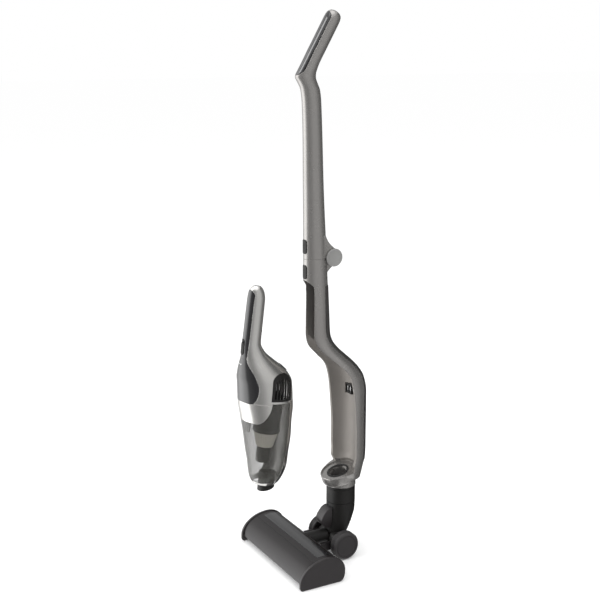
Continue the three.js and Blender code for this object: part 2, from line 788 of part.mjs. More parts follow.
function makeHandsetBody() {
  const wall = 2.6;
  const skinDepth = 1.6;
  const outer = handsetForm(0);
  const inner = handsetForm(-wall, 14).intersect(bodyZone(-20));
  const skin = (depth, rise) => handsetForm(rise).subtract(handsetForm(-depth));

  const panelCut = (play) => frontPrism(panelOutline(play), [-110, -38]);
  const stripCut = (play) => {
    const half = 12.4 - play;
    const shape = new THREE.Shape();
    shape.moveTo(-half, 267.1 + play);
    shape.lineTo(half, 267.1 + play);
    shape.absarc(0, 390, half, 0, Math.PI);
    return frontPrism(shape, [-110, -68.5]);
  };
  const switchSlot = frontPrism(roundedRectangle(0, 290, 12, 32, 5.5), [-110, -60]);
  const switchTop = frontPrism(roundedRectangle(0, 286.5, 12 - 2 * travelGap, 24, 5), [-110, -60]);
  const middleBlock = block([-24, 24], [-130, 80], [100, 440]);
  const releaseCut = (play) => block([-14 + play, 14 - play], [-14, 60], [246 + play, 257 - play]);

  const whole = cutAll(
    outer.intersect(bodyZone(0)),
    inner,
    skin(skinDepth, 3).intersect(panelCut(0)),
    skin(skinDepth, 3).intersect(stripCut(0)),
    switchSlot,
    releaseCut(0),
    grilleZone(0).subtract(middleBlock),
    bar("y", 4.6, [-60, -20], [0, 322], 20),
  );
  for (const [side, sign] of [["right", 1], ["left", -1]]) {
    const half = block([gap / 2, 80].map((x) => sign * x).sort((p, q) => p - q), [-130, 80], [100, 440]);
    addToHandset(`handset_shell_${side}`, whole.intersect(half), finish.silver);
  }

  const thinSkin = skin(skinDepth - gap, 0.3);
  const panel = thinSkin.intersect(panelCut(gap));
  addToHandset("front_panel", panel, finish.glossBlack);
  const strip = cutAll(thinSkin.intersect(stripCut(gap)), switchSlot);
  addToHandset("grip_strip", strip, finish.glossBlack);

  const slider = skin(4.2, 1.4).intersect(switchTop);
  addToHandset("power_switch", slider, finish.mattBlack);
  const release = handsetForm(2).intersect(releaseCut(travelGap)).subtract(handsetForm(-3));
  addToHandset("cup_release", release, finish.charcoal);
  const inlet = bar("y", 4.2, [-57.2, -49.4], [0, 322], 20).subtract(
    bar("y", 2.6, [-55.4, -40], [0, 322], 16),
  );
  addToHandset("charge_inlet", inlet, finish.mattBlack);

  const slots = 6;
  const pitch = 6.8;
  let grille = skin(wall, 0).intersect(grilleZone(gap)).subtract(middleBlock);
  for (let i = 0; i < slots; i += 1) {
    const y = -11 + (i - (slots - 1) / 2) * pitch;
    const low = cupPartRear + 8;
    const high = 236 - Math.abs(i - (slots - 1) / 2) * 2.6;
    grille = grille.subtract(block([-70, 70], [y - 1.7, y + 1.7], [low, high]));
  }
  for (const [side, sign] of [["right", 1], ["left", -1]]) {
    const half = block([0, 80].map((x) => sign * x).sort((p, q) => p - q), [-130, 80], [100, 440]);
    addToHandset(`vent_grille_${side}`, grille.intersect(half), finish.mattBlack);
  }
}

function makeHandsetInside() {
  const motorY = -22;
  const motor = union(
    bar("z", 27, [208, 242], [0, motorY], 24),
    bar("z", 3, [200, 210], [0, motorY], 16),
  );
  addToHandset("suction_motor", motor, finish.steel);
  let impeller = bar("z", 30, [189, 191.5], [0, motorY], 24);
  const blades = 7;
  for (let i = 0; i < blades; i += 1) {
    const blade = block([6, 29], [-0.9, 0.9], [191, 199]).rotate([0, 0, (360 / blades) * i]);
    impeller = impeller.add(blade.translate([0, motorY, 0]));
  }
  const bore = bar("z", 3 + gap, [180, 210], [0, motorY], 16);
  addToHandset("fan_impeller", impeller.add(bar("z", 7, [189, 200], [0, motorY], 20)).subtract(bore), finish.charcoal);

  const cellLength = 48;
  for (let i = 0; i < 2; i += 1) {
    const low = 297 + i * (cellLength + 1);
    const cell = bar("z", 9, [low, low + cellLength], [0, -66.5], 24);
    addToHandset(`battery_cell_${i + 1}`, cell, finish.cell);
  }
  const board = block([-20, 20], [-71, -69.4], [196, 240]);
  addToHandset("circuit_board", board, finish.board);
}

function makeDustCup() {
  const wall = 2.4;
  const rimDepth = 1.2;
  const cupZone = (play) => block([-70, 70], [-110, 80], [0, 300]).subtract(bodyZone(-play));
  const rimZone = (play) => {
    const window = polygon([
      [-120, 400],
      [-120, 16 - play],
      [-30, 16 - play],
      [-8, 19 - play],
      [4 + play, 27],
      [11 + play, 46],
      [15 + play, 90],
      [14 + play, 140],
      [11 + play, 187],
      [11 + play, 400],
    ]);
    return block([-70, 70], [-110, 80], [4, 300]).subtract(sidePrism(window, [-70, 70]));
  };
  const nozzleBore = bar("z", 13.5, [-40, 40], [0, 0], 20);
  const skin = (depth, rise) => handsetForm(rise).subtract(handsetForm(-depth));
  const cup = cutAll(
    handsetForm(0).intersect(cupZone(gap)),
    handsetForm(-wall, 14),
    skin(rimDepth, 3).intersect(rimZone(0)),
    bar("z", 17 + gap, [-10, 30], [0, 0], 24),
  );
  addToHandset("dust_cup", cup, finish.smoke);
  const rim = cutAll(
    skin(rimDepth - gap, 0.4).intersect(cupZone(gap)).intersect(rimZone(gap)),
    bar("z", 17 + gap, [-10, 30], [0, 0], 24),
  );
  addToHandset("cup_rim", rim, finish.chrome);

  const mouthPlane = block([-60, 60], [-60, 60], [-80, 0]).rotate([socketTilt, 0, 0]);
  const nozzle = cutAll(
    bar("z", 17, [-20, 34], [0, 0], 24),
    nozzleBore,
    mouthPlane,
  );
  addToHandset("nozzle", nozzle, finish.mattBlack);

  const filterY = -14;
  const frame = bar("z", 27, [118, 170], [0, filterY], 24).subtract(
    bar("z", 24, [121, 180], [0, filterY], 20),
  );
  addToHandset("filter_frame", frame, finish.mattBlack);
  const cone = bar("z", 17, [88, 117.7], [0, filterY], 28, 25);
  addToHandset("filter_cone", cone, finish.filterLight);
  addToHandset("filter_core", bar("z", 15, [56, 87.7], [0, filterY], 20), finish.mattBlack);
}

// ---------------------------------------------------------------- build

makeUpperHalf();
makeLowerHalf();
makeNeck();
makeHead();
makeBrush();
makeWheels();
makeHandsetBody();
makeHandsetInside();
makeDustCup();
vacuum.add(handset);

const assembly = new THREE.Group();
vacuum.position.y = originShift;
assembly.add(vacuum);

export default assembly;
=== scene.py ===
"""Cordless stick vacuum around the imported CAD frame.

Shapes are drawn in millimetres, then moved to the row.
"""

import json
import math
import random

import bpy
import bmesh
import numpy as np
from mathutils import Matrix, Vector


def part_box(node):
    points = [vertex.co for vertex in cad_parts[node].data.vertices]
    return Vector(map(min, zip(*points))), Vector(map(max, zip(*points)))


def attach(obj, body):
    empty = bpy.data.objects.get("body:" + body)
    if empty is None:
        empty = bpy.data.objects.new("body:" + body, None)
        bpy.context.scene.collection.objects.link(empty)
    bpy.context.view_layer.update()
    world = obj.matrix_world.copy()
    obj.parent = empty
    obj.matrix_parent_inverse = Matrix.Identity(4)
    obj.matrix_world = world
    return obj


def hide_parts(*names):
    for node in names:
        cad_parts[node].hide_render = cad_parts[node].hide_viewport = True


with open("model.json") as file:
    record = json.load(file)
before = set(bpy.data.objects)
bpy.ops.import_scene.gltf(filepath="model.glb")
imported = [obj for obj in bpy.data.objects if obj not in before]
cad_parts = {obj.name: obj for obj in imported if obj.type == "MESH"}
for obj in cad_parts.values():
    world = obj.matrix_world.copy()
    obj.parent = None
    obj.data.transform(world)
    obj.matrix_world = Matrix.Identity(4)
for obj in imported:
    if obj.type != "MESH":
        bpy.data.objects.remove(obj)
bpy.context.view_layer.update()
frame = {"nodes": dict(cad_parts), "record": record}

# ---------------------------------------------------------------- dimensions, millimetres

MM = 0.001
FOLD_Y, FOLD_Z = 40.3, 631.0
pin_low, pin_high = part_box("hinge_pin")
SHIFT = (pin_low[1] + pin_high[1]) / 2 / MM - FOLD_Y
TO_ROW = Matrix.Scale(MM, 4) @ Matrix.Translation((0, SHIFT, 0))

HAND_TILT = math.radians(7.5)
HAND = Matrix.Translation((0, -106, 172.5)) @ Matrix.Rotation(-HAND_TILT, 4, "X")

KNUCKLE_R, KNUCKLE_IN, KNUCKLE_OUT = 16.5, 10.0, 16.0
GROOVE_HALF, GROOVE_FLOOR, GROOVE_TOP = 17.3, 14.0, 588.4
SOCKET_TILT = math.radians(18)
SOCKET = Matrix.Translation((0, 67, 168)) @ Matrix.Rotation(SOCKET_TILT, 4, "X")
SEAT = SOCKET.inverted() @ Vector((0, 62, 176.5))
TRAY_FLOOR = SEAT.z - 1.8
TRAY_RIM = TRAY_FLOOR + 2.6
SWIVEL_Y, SWIVEL_Z = 70.0, 110.0
AXLE_Y, AXLE_Z = 52.0, 29.4
BRUSH_Y, BRUSH_Z = -62.0, 24.4
CUP_FRONT, CUP_REAR = 143.0, 187.0
GAP = 0.3

UPPER = [
    (630.3, 6.4, 18.6, 24.6, 0),
    (760, 2.4, 17.2, 21.3, 0),
    (930, -2.2, 15.4, 19.6, 0),
    (956, -5.4, 15.2, 19.8, 2),
    (968, -11, 15, 20.6, 4),
    (979.5, -15.7, 15, 21.2, 2),
    (989, -12.6, 15, 18.6, 8),
    (999, -7.6, 15, 16.8, 18),
    (1012.6, -0.6, 15, 15.8, 30),
    (1038, 14.1, 15, 15.8, 30),
    (1084, 40.7, 15, 15.8, 30),
    (1093, 45.9, 13.4, 14.4, 30),
    (1097.6, 48.5, 9, 10.4, 30),
    (1099.6, 49.7, 3.4, 4.6, 30),
]
FRAME = [
    (163, 73, 37, 38, 0),
    (180, 72.6, 43, 41, 0),
    (206, 74, 49.6, 43.4, 0),
    (232, 72.4, 52, 46, 0),
    (350, 72, 52, 46.4, 0),
    (382, 66.6, 51.6, 45, 0),
    (400, 58.4, 50, 42, 0),
    (415, 49.6, 46, 37, 0),
    (430, 36.6, 39.6, 33.6, 0),
    (445, 24, 31.6, 30.6, 0),
    (460, 15, 25, 28.4, 0),
    (476, 11, 22, 27.4, 0),
    (520, 9.4, 20.6, 26.8, 0),
    (630.3, 6.4, 18.6, 24.6, 0),
]
CRADLE = [
    (188, 60, 40, 34, 0),
    (204, 61, 44.6, 39, 0),
    (226, 62, 47.4, 40, 0),
    (352, 62, 47.4, 40, 0),
    (380, 57, 46.6, 39.4, 0),
    (398, 50, 44, 38, 0),
    (412, 43, 39, 32, 0),
    (424, 34, 30, 24, 0),
]
CRADLE_EDGE = [
    (74, 196),
    (76, 214),
    (76, 262),
    (73, 320),
    (69, 360),
    (61, 391),
    (51, 405),
    (36, 418),
    (17, 434),
    (2, 450),
    (-12, 466),
    (-20, 474),
]
HANDSET = [
    (11, -6.6, 23.4, 23, 0),
    (22, -6, 32, 30.5, 0),
    (48, -4.5, 39.5, 38.5, 0),
    (81, -8.5, 43.5, 43.5, 0),
    (113, -12, 46.5, 48, 0),
    (146, -18, 48.5, 51.8, 0),
    (178, -23, 50, 56, 0),
    (226, -31, 47, 56.4, 0),
    (241, -36, 41.5, 52, 0),
    (255, -44, 33, 43.6, 0),
    (268, -53, 24.5, 33, 0),
    (281, -62, 18.6, 24.2, 0),
    (300, -68, 15.6, 18.8, 0),
    (384, -68, 15, 17.8, 0),
    (398, -68.8, 13, 15.8, 0),
    (406, -69.3, 9.4, 11.8, 0),
    (410, -69.4, 5.5, 7.4, 0),
]

# ---------------------------------------------------------------- camera

VIEW = math.radians(61.0795)
PITCH = math.radians(13.1469)
camera_data = bpy.data.cameras.new("camera")
camera_data.lens = 65.96
camera_data.sensor_width = 36
camera = bpy.data.objects.new("camera", camera_data)
bpy.context.scene.collection.objects.link(camera)
camera.location = (1.8418, -1.0448 + SHIFT * MM, 1.0409)
camera.rotation_euler = (math.pi / 2 - PITCH, 0, VIEW)
bpy.context.scene.camera = camera

# ---------------------------------------------------------------- mesh tools


def mesh_object(name, verts, faces):
    mesh = bpy.data.meshes.new(name)
    mesh.from_pydata([tuple(v) for v in verts], [], faces)
    work = bmesh.new()
    work.from_mesh(mesh)
    bmesh.ops.recalc_face_normals(work, faces=work.faces)
    work.to_mesh(mesh)
    work.free()
    made = bpy.data.objects.new(name, mesh)
    bpy.context.scene.collection.objects.link(made)
    return made


def smooth_rows(sections, step):
    """Rows through every section, without overshoot between them."""
    keys = np.array(sections, float)
    z = keys[:, 0]
    run = np.diff(z)
    rise = np.diff(keys, axis=0) / run[:, None]
    slope = np.zeros_like(keys)
    slope[0], slope[-1] = rise[0], rise[-1]
    for i in range(1, len(z) - 1):
        w1, w2 = 2 * run[i] + run[i - 1], run[i] + 2 * run[i - 1]
        a, b = rise[i - 1], rise[i]
        same = a * b > 0
        safe_a, safe_b = np.where(same, a, 1), np.where(same, b, 1)
        slope[i] = np.where(same, (w1 + w2) / (w1 / safe_a + w2 / safe_b), 0)
    rows = []
    for i in range(len(z) - 1):
        count = max(2, round(run[i] / step))
        for k in range(count):
            t = k / count
            h00, h10 = 2 * t**3 - 3 * t**2 + 1, t**3 - 2 * t**2 + t
            h01, h11 = -2 * t**3 + 3 * t**2, t**3 - t**2
            rows.append(
                h00 * keys[i] + h10 * run[i] * slope[i] + h01 * keys[i + 1] + h11 * run[i] * slope[i + 1]
            )
    rows.append(keys[-1])
    return rows


def skin_faces(rings, sides):
    faces = []
    for r in range(rings - 1):
        for k in range(sides):
            n = (k + 1) % sides
            faces.append((r * sides + k, r * sides + n, (r + 1) * sides + n, (r + 1) * sides + k))
    return faces


def loft(sections, grow=0.0, sides=96, step=4.0):
    verts = []
    rows = smooth_rows(sections, step)
    for z, y, half_width, half_depth, lean in rows:
        tilt = math.radians(lean)
        for k in range(sides):
            turn = 2 * math.pi * k / sides
            back = -math.cos(turn) * (half_depth + grow)
            verts.append(
                (math.sin(turn) * (half_width + grow), y + back * math.cos(tilt), z - back * math.sin(tilt))
            )
    faces = skin_faces(len(rows), sides)
    faces.append(tuple(reversed(range(sides))))
    faces.append(tuple(range((len(rows) - 1) * sides, len(rows) * sides)))
    return mesh_object("loft", verts, faces)


def prism(outline, axis, low, high):
    """An outline in (y, z), (x, z) or (x, y) carried along x, y or z."""
    place = {
        "x": lambda p, q, t: (t, p, q),
        "y": lambda p, q, t: (p, t, q),
        "z": lambda p, q, t: (p, q, t),
    }[axis]
    count = len(outline)
    verts = [place(p, q, t) for t in (low, high) for p, q in outline]
    faces = skin_faces(2, count)
    faces.append(tuple(reversed(range(count))))
    faces.append(tuple(range(count, 2 * count)))
    return mesh_object("prism", verts, faces)


def block(xs, ys, zs):
    return prism([(xs[0], ys[0]), (xs[1], ys[0]), (xs[1], ys[1]), (xs[0], ys[1])], "z", *zs)


def arc(p, q, radius, start, end, count=16, radius_q=None):
    radius_q = radius if radius_q is None else radius_q
    steps = [start + (end - start) * i / count for i in range(count + 1)]
    return [(p + radius * math.cos(math.radians(s)), q + radius_q * math.sin(math.radians(s))) for s in steps]


def bar(axis, radius, low, high, at=(0, 0), sides=64):
    return prism(arc(at[0], at[1], radius, 0, 360 * (sides - 1) / sides, sides - 1), axis, low, high)


def bezier(p0, p1, p2, p3, count=14):
    points = []
    for i in range(1, count + 1):
        t = i / count
        weights = ((1 - t) ** 3, 3 * t * (1 - t) ** 2, 3 * t * t * (1 - t), t**3)
        points.append(tuple(sum(w * p[c] for w, p in zip(weights, (p0, p1, p2, p3))) for c in (0, 1)))
    return points


def rounded_rectangle(p, q, width, height, radius, count=8):
    x, y = width / 2 - radius, height / 2 - radius
    return (
        arc(p + x, q - y, radius, -90, 0, count)
        + arc(p + x, q + y, radius, 0, 90, count)
        + arc(p - x, q + y, radius, 90, 180, count)
        + arc(p - x, q - y, radius, 180, 270, count)
    )


def lathe(profile, sides=72):
    """A closed body about z. A profile that does not touch the axis closes into a ring."""
    verts, rings = [], []
    for radius, height in profile:
        if radius < 1e-6:
            rings.append([len(verts)])
            verts.append((0, 0, height))
        else:
            rings.append(list(range(len(verts), len(verts) + sides)))
            for k in range(sides):
                turn = 2 * math.pi * k / sides
                verts.append((radius * math.cos(turn), radius * math.sin(turn), height))
    pairs = list(zip(rings, rings[1:]))
    if len(rings[0]) > 1:
        pairs.append((rings[-1], rings[0]))
    faces = []
    for a, b in pairs:
        for k in range(sides):
            n = (k + 1) % sides
            if len(a) > 1 and len(b) > 1:
                faces.append((a[k], a[n], b[n], b[k]))
            elif len(a) > 1:
                faces.append((a[k], a[n], b[0]))
            elif len(b) > 1:
                faces.append((a[0], b[n], b[k]))
    return mesh_object("lathe", verts, faces)


def moved(piece, matrix):
    piece.data.transform(matrix)
    piece.data.update()
    return piece


def shifted(piece, x, y, z):
    return moved(piece, Matrix.Translation((x, y, z)))


def copy(piece):
    twin = piece.copy()
    twin.data = piece.data.copy()
    bpy.context.scene.collection.objects.link(twin)
    return twin


def bake(piece):
    """Applies the piece's modifiers to its mesh."""
    depsgraph = bpy.context.evaluated_depsgraph_get()
    made = bpy.data.meshes.new_from_object(piece.evaluated_get(depsgraph))
    piece.modifiers.clear()
    piece.data = made
    return piece


def rounded(piece, width, segments=3, angle=35):
    bevel = piece.modifiers.new("bevel", "BEVEL")
    bevel.width = width
    bevel.segments = segments
    bevel.limit_method = "ANGLE"
    bevel.angle_limit = math.radians(angle)
    return bake(piece)


def combine(piece, operation, tools):
    for tool in tools:
        step = piece.modifiers.new("boolean", "BOOLEAN")
        step.object = tool
        step.operation = operation
        step.solver = "MANIFOLD"
        bake(piece)
        bpy.data.objects.remove(tool)
    return piece


def cut(piece, *tools):
    return combine(piece, "DIFFERENCE", tools)


def join(piece, *tools):
    return combine(piece, "UNION", tools)


def keep(piece, *tools):
    return combine(piece, "INTERSECT", tools)


def merged(pieces):
    """Several closed bodies as one mesh, without joining their surfaces."""
    work = bmesh.new()
    for piece in pieces:
        work.from_mesh(piece.data)
    mesh = bpy.data.meshes.new("merged")
    work.to_mesh(mesh)
    work.free()
    for piece in pieces:
        bpy.data.objects.remove(piece)
    made = bpy.data.objects.new("merged", mesh)
    bpy.context.scene.collection.objects.link(made)
    return made


def skin_of(sections, depth, rise, **more):
    return cut(loft(sections, rise, **more), loft(sections, -depth, **more))


# ---------------------------------------------------------------- materials


def surface(
    name,
    color,
    rough,
    metal=0.0,
    vary=0.05,
    grain=0.0,
    grain_mm=0.5,
    flake=0.0,
    edge_mm=0.6,
    streak=0.0,
    **sockets,
):
    made = bpy.data.materials.new(name)
    made.use_nodes = True
    nodes, links = made.node_tree.nodes, made.node_tree.links
    shader = nodes["Principled BSDF"]
    shader.inputs["Metallic"].default_value = metal
    for key, value in sockets.items():
        shader.inputs[key.replace("_", " ").title().replace("Ior", "IOR")].default_value = value
    place = nodes.new("ShaderNodeTexCoord")
    cloud = nodes.new("ShaderNodeTexNoise")
    cloud.inputs["Scale"].default_value = 14
    cloud.inputs["Detail"].default_value = 5
    links.new(place.outputs["Object"], cloud.inputs["Vector"])
    tone = nodes.new("ShaderNodeMix")
    tone.data_type = "RGBA"
    tone.inputs["A"].default_value = (*[c * (1 - vary) for c in color[:3]], 1)
    tone.inputs["B"].default_value = (*[min(1, c * (1 + vary)) for c in color[:3]], 1)
    links.new(cloud.outputs["Fac"], tone.inputs["Factor"])
    shade = tone.outputs["Result"]
    if flake:
        cells = nodes.new("ShaderNodeTexVoronoi")
        cells.inputs["Scale"].default_value = 2600
        links.new(place.outputs["Object"], cells.inputs["Vector"])
        glint = nodes.new("ShaderNodeMapRange")
        glint.inputs["To Min"].default_value = 1 - flake
        glint.inputs["To Max"].default_value = 1 + flake
        links.new(cells.outputs["Color"], glint.inputs["Value"])
        spark = nodes.new("ShaderNodeVectorMath")
        spark.operation = "SCALE"
        links.new(shade, spark.inputs[0])
        links.new(glint.outputs["Result"], spark.inputs["Scale"])
        shade = spark.outputs["Vector"]
    links.new(shade, shader.inputs["Base Color"])
    smear = nodes.new("ShaderNodeTexNoise")
    smear.inputs["Scale"].default_value = 55
    smear.inputs["Detail"].default_value = 6
    links.new(place.outputs["Object"], smear.inputs["Vector"])
    polish = nodes.new("ShaderNodeMapRange")
    polish.inputs["To Min"].default_value = rough * 0.86
    polish.inputs["To Max"].default_value = rough * 1.16
    links.new(smear.outputs["Fac"], polish.inputs["Value"])
    links.new(polish.outputs["Result"], shader.inputs["Roughness"])
    edge = nodes.new("ShaderNodeBevel")
    edge.samples = 4
    edge.inputs["Radius"].default_value = edge_mm * MM
    normal = edge.outputs["Normal"]
    if grain:
        fine = nodes.new("ShaderNodeTexNoise")
        fine.inputs["Scale"].default_value = 1 / (grain_mm * MM)
        fine.inputs["Detail"].default_value = 3
        if streak:
            stretch = nodes.new("ShaderNodeMapping")
            stretch.inputs["Scale"].default_value = (1, 1, streak)
            links.new(place.outputs["Object"], stretch.inputs["Vector"])
            links.new(stretch.outputs["Vector"], fine.inputs["Vector"])
        else:
            links.new(place.outputs["Object"], fine.inputs["Vector"])
        bump = nodes.new("ShaderNodeBump")
        bump.inputs["Strength"].default_value = grain
        bump.inputs["Distance"].default_value = grain_mm * MM
        links.new(fine.outputs["Fac"], bump.inputs["Height"])
        links.new(normal, bump.inputs["Normal"])
        normal = bump.outputs["Normal"]
    links.new(normal, shader.inputs["Normal"])
    made.diffuse_color = (*color[:3], 1)
    return made


def clear(name, color, rough, face_alpha, edge_alpha):
    made = surface(name, color, rough, vary=0.03, edge_mm=0.4, specular_ior_level=0.9)
    nodes, links = made.node_tree.nodes, made.node_tree.links
    weight = nodes.new("ShaderNodeLayerWeight")
    weight.inputs["Blend"].default_value = 0.4
    spread = nodes.new("ShaderNodeMapRange")
    spread.inputs["To Min"].default_value = face_alpha
    spread.inputs["To Max"].default_value = edge_alpha
    links.new(weight.outputs["Facing"], spread.inputs["Value"])
    links.new(spread.outputs["Result"], nodes["Principled BSDF"].inputs["Alpha"])
    return made


M = {
    "titanium": surface(
        "titanium_lacquer", (0.30, 0.29, 0.28), 0.26, 0.72,
        flake=0.12, edge_mm=1.1, coat_weight=0.25,
    ),
    # cradle and groove are darker copies of the titanium grey: painted shade for the cradle's inside and the
    # handle groove
    "cradle": surface("cradle_painted_shade", (0.20, 0.185, 0.17), 0.46, 0.35, flake=0.05, edge_mm=1.4),
    "groove": surface("groove_painted_shade", (0.11, 0.104, 0.098), 0.5, 0.3, edge_mm=0.8),
    "cap_grey": surface("cap_grey", (0.27, 0.268, 0.262), 0.42, 0.35, grain=0.08, grain_mm=0.5, edge_mm=0.8),
    # cover_dark: the rear cover's own dark grey, also used as painted shade where the skin runs up the shaded
    # rear of the tube
    "cover_dark": surface("cover_dark", (0.05, 0.048, 0.047), 0.42, 0.2, grain=0.12, edge_mm=0.9),
    "gloss_black": surface(
        "gloss_black", (0.012, 0.012, 0.013), 0.09, 0.0,
        coat_weight=0.6, coat_roughness=0.04,
    ),
    "matt_black": surface(
        "matt_black", (0.010, 0.0095, 0.009), 0.46, 0.0,
        vary=0.12, grain=0.2, grain_mm=0.6, specular_ior_level=0.3,
    ),
    "charcoal": surface(
        "charcoal", (0.022, 0.019, 0.02), 0.43, 0.1,
        vary=0.08, grain=0.15, grain_mm=0.6, edge_mm=1.2,
    ),
    "satin_head": surface(
        "satin_head", (0.014, 0.012, 0.0125), 0.3, 0.2,
        flake=0.12, edge_mm=1.0, specular_ior_level=0.4,
    ),
    "rubber": surface("rubber", (0.014, 0.014, 0.014), 0.75, 0.0, vary=0.15, grain=0.3, grain_mm=0.8),
    "tyre": surface("tyre_rubber", (0.03, 0.027, 0.028), 0.6, 0.0, vary=0.15, grain=0.25, grain_mm=0.8),
    "silver": surface("silver_lacquer", (0.66, 0.65, 0.63), 0.2, 0.9, vary=0.03, flake=0.1, edge_mm=1.0),
    "bright_rim": surface("bright_rim", (0.8, 0.79, 0.77), 0.14, 1.0, vary=0.02, edge_mm=1.0),
    "filter_light": surface("filter_light", (0.5, 0.48, 0.42), 0.7, 0.0, vary=0.12, grain=0.4, grain_mm=1.0),
    "steel": surface("steel", (0.55, 0.55, 0.55), 0.26, 1.0, grain=0.2, grain_mm=0.4, streak=0.05),
    "bristle": surface("bristle_nylon", (0.02, 0.018, 0.02), 0.6, 0.0, vary=0.3, grain=0.5, grain_mm=0.4),
    "board": surface("board_green", (0.02, 0.1, 0.05), 0.4, 0.0, vary=0.2),
    "cell": surface("cell_wrap", (0.03, 0.12, 0.28), 0.35, 0.0, vary=0.05),
    "white_led": surface("indicator_white", (0.85, 0.85, 0.83), 0.25, 0.0, vary=0.02),
    "smoke": clear("smoke_clear", (0.085, 0.083, 0.075), 0.06, 0.2, 0.85),
}

made_pieces = []


def finish(piece, name, body, slot, material=None, stands_for=(), hand=False, sharp=28):
    """Moves a drawn piece to the row, shades it and ties it to its body."""
    place = TO_ROW @ HAND if hand else TO_ROW
    moved(piece, place)
    piece.name = name
    piece.data.name = name
    piece.data.materials.clear()
    piece.data.materials.append(M[material or slot])
    piece.data.polygons.foreach_set("use_smooth", [True] * len(piece.data.polygons))
    piece.data.set_sharp_from_angle(angle=math.radians(sharp))
    piece.data.update()
    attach(piece, body)
    if stands_for:
        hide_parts(*([stands_for] if isinstance(stands_for, str) else stands_for))
    made_pieces.append(piece)
    return piece


def screw(radius):
    """A pan-head screw with a cross recess, its head rising along +z from z = 0."""
    rim = [(0, -1.5), (radius * 0.98, -1.5), (radius, 0.2)]
    dome = [(radius * 0.82, 0.9), (radius * 0.45, 1.2), (0, 1.25)]
    head = lathe(rim + dome, 32)
    arm, half = radius * 0.55, radius * 0.13
    return cut(head, block((-arm, arm), (-half, half), (0.2, 3)), block((-half, half), (-arm, arm), (0.2, 3)))


def aimed(at, direction):
    """A matrix that puts z = 0 at a point, with +z along a direction."""
    turn = Vector(direction).to_track_quat("Z", "Y").to_matrix().to_4x4()
    return Matrix.Translation(at) @ turn


# ---------------------------------------------------------------- stick, upper half


def knuckle(radius, low, high):
    return bar("x", radius, low, high, (FOLD_Y, FOLD_Z), 64)


def fairing(direction, half):
    def rise(height):
        return FOLD_Z + direction * (height + 0.7)

    slope = bezier((23, rise(44)), (27, rise(30)), (36, rise(22)), (FOLD_Y + 6, rise(15)), 12)
    tip = FOLD_Y + 16
    nose = bezier((FOLD_Y + 6, rise(15)), (FOLD_Y + 12, rise(11)), (tip, rise(6)), (tip, rise(-4)), 8)
    outline = [(12, rise(-4)), (12, rise(44)), (23, rise(44))] + slope + nose
    return rounded(prism(outline, "x", -half, half), 2.6, 4)


def button_prism(z, play, low=-40, high=-9):
    return prism(rounded_rectangle(0, z, 16 - 2 * play, 28 - 2 * play, 5 - play), "y", low, high)


def inlay_prism(play):
    half = 12.2 - play
    tail = play - 19
    outline = (
        [(half, 0), (half, 106)]
        + arc(0, 106, half, 0, 180, 20)[1:]
        + [(-half, 0)]
        + bezier((-half, 0), (-half, tail + 6), (-half * 0.5, tail), (0, tail), 10)
        + bezier((0, tail), (half * 0.5, tail), (half, tail + 6), (half, 0), 10)[:-1]
    )
    lean = Matrix.Translation((0, -6, 987)) @ Matrix.Rotation(math.radians(-30), 4, "X")
    return moved(prism(outline, "y", -60, -4), lean)


def make_upper_half():
    half = join(loft(UPPER), fairing(1, KNUCKLE_OUT - 0.4))
    cut(half, block((-40, 40), (-60, 100), (540, FOLD_Z - 0.4)))
    spans = ((KNUCKLE_IN, KNUCKLE_OUT), (-KNUCKLE_OUT, -KNUCKLE_IN))
    ears = merged([knuckle(KNUCKLE_R, *span) for span in spans])
    hollow = [(619, 6.4, 18.6, 24.6, 0)] + UPPER[1:-3]
    body = cut(
        join(half, ears),
        knuckle(KNUCKLE_R + 0.5, -KNUCKLE_IN - GAP, KNUCKLE_IN + GAP),
        knuckle(4 + GAP, -20, 20),
        cut(loft(hollow, -3.2, 64, 12), block((-40, 40), (24, 80), (560, 700))),
        button_prism(655, 0),
        keep(skin_of(UPPER, 1.7, 3), inlay_prism(0)),
    )
    finish(body, "stick_upper_shell", "stick_upper", "titanium", stands_for="upper_tube")
    inlay = keep(skin_of(UPPER, 1.4, 0.2), inlay_prism(GAP))
    finish(inlay, "handle_inlay", "stick_upper", "gloss_black", stands_for="grip_inlay")
    for z, name, node, body, sections in (
        (655, "fold_catch_button", "fold_button", "fold_button", UPPER),
        (604.6, "dock_catch_button", "dock_button", "dock_button", FRAME),
    ):
        button = keep(loft(sections, 0.9, 96, 3), button_prism(z, 0.45, -40, -12.6))
        face = -(24.6 - 6.4) - 0.25
        levels = [z + k * 3 for k in (-2, -1, 0, 1, 2)]
        ridges = [block((-5, 5), (-40, face), (level - 0.5, level + 0.5)) for level in levels]
        finish(cut(button, *ridges), name, body, "matt_black", stands_for=node)
    for side, sign in (("right", 1), ("left", -1)):
        cap = lathe(
            [
                (0, 0),
                (17.8, 0),
                (17.8, 2.0),
                (17.5, 2.8),
                (16.8, 3.3),
                (15.9, 3.4),
                (15.2, 3.1),
                (14.6, 2.7),
                (0, 2.9),
            ],
            96,
        )
        cap = moved(cap, Matrix.Rotation(math.radians(sign * 90), 4, "Y"))
        shifted(cap, sign * (KNUCKLE_OUT + GAP), FOLD_Y, FOLD_Z)
        name = f"knuckle_cap_{side}"
        finish(cap, name, "stick_frame", "cap_grey", stands_for=f"hinge_cap_{side}", sharp=50)


# ---------------------------------------------------------------- stick, lower half


